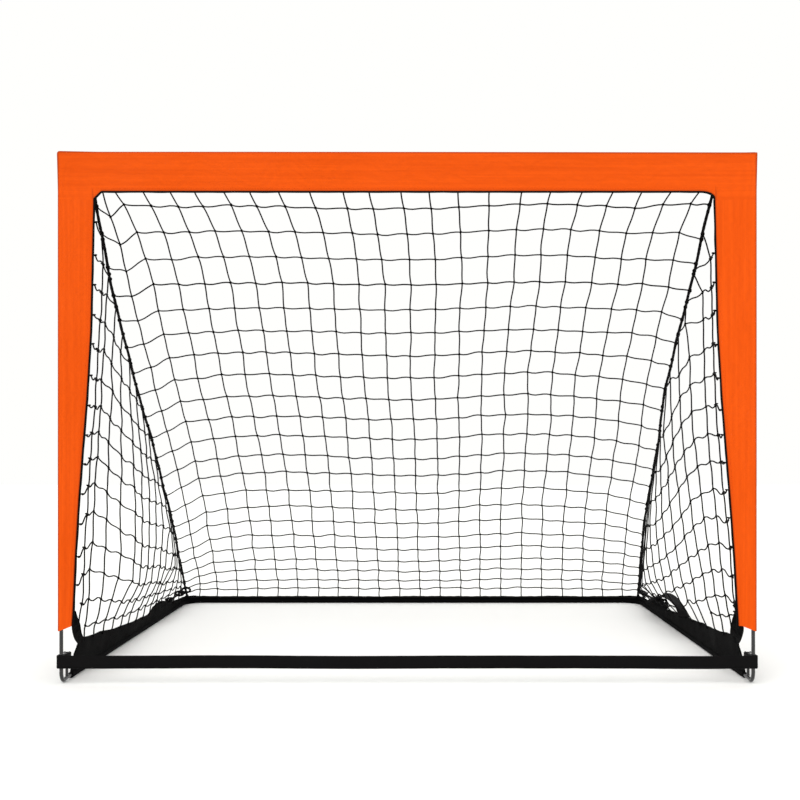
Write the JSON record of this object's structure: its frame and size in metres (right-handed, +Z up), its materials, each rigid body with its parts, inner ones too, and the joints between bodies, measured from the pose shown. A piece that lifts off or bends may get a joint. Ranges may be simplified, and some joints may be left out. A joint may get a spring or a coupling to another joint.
{
  "type": "soccer goal frame",
  "caption": "Small portable soccer goal: sleeved front frame with posts and crossbar, sloping rope net, and a rod base that lies on the ground; the front frame folds back onto the base.",
  "frame": {"origin": "centre of the goal's bounding box in plan, at ground level", "axes": "+X to the right as seen from the field, along the crossbar; +Y from the front frame towards the back of the goal; +Z up"},
  "size_m": [1.2, 0.9, 0.912],
  "materials": {
    "orange_cloth": "matte",
    "black_webbing": "matte",
    "black_cord": "matte",
    "dark_steel": "gloss",
    "black_plastic": "satin"
  },
  "bodies": {
    "base": {"foot_bend_L": "dark_steel", "foot_bend_R": "dark_steel", "foot_brace_L": "dark_steel", "foot_brace_R": "dark_steel", "foot_ferrule_L": "dark_steel", "foot_ferrule_R": "dark_steel", "hinge_bracket_L": "dark_steel", "hinge_bracket_R": "dark_steel", "hinge_pin_L": "dark_steel", "hinge_pin_R": "dark_steel", "side_rod_L": "dark_steel", "side_rod_R": "dark_steel", "rear_corner_L": "dark_steel", "rear_corner_R": "dark_steel", "corner_sleeve_L": "black_webbing", "corner_sleeve_R": "black_webbing", "side_sleeve_L": "black_webbing", "side_sleeve_R": "black_webbing", "rear_rod_L": "dark_steel", "rear_rod_R": "dark_steel", "gusset_L": "black_webbing", "gusset_R": "black_webbing", "peg_loop_L": "black_webbing", "peg_loop_R": "black_webbing", "seam_cord_L": "black_cord", "seam_cord_R": "black_cord", "rear_ferrule": "dark_steel", "rear_sleeve": "black_webbing", "front_strap": "black_webbing", "tie_strap": "black_webbing", "net_back": "black_cord", "net_left": "black_cord", "net_right": "black_cord"},
    "front_frame": {"post_end_L": "dark_steel", "post_end_R": "dark_steel", "post_rod_L": "dark_steel", "post_rod_R": "dark_steel", "corner_elbow_L": "black_plastic", "corner_elbow_R": "black_plastic", "crossbar_rod_L": "dark_steel", "crossbar_rod_R": "dark_steel", "post_sleeve_L": "orange_cloth", "post_sleeve_R": "orange_cloth", "post_piping_L": "black_cord", "post_piping_R": "black_cord", "crossbar_ferrule": "dark_steel", "crossbar_sleeve": "orange_cloth", "crossbar_piping": "black_cord"}
  },
  "joints": [
    {"name": "front_fold", "type": "hinge", "parent": "base", "child": "front_frame", "pos_m": [0, -0.433, 0.0445], "axis": [-1, 0, 0], "range_deg": [0, 90], "deforming": ["net_back", "net_left", "net_right", "seam_cord_L", "seam_cord_R", "gusset_L", "gusset_R", "tie_strap"]}
  ]
}
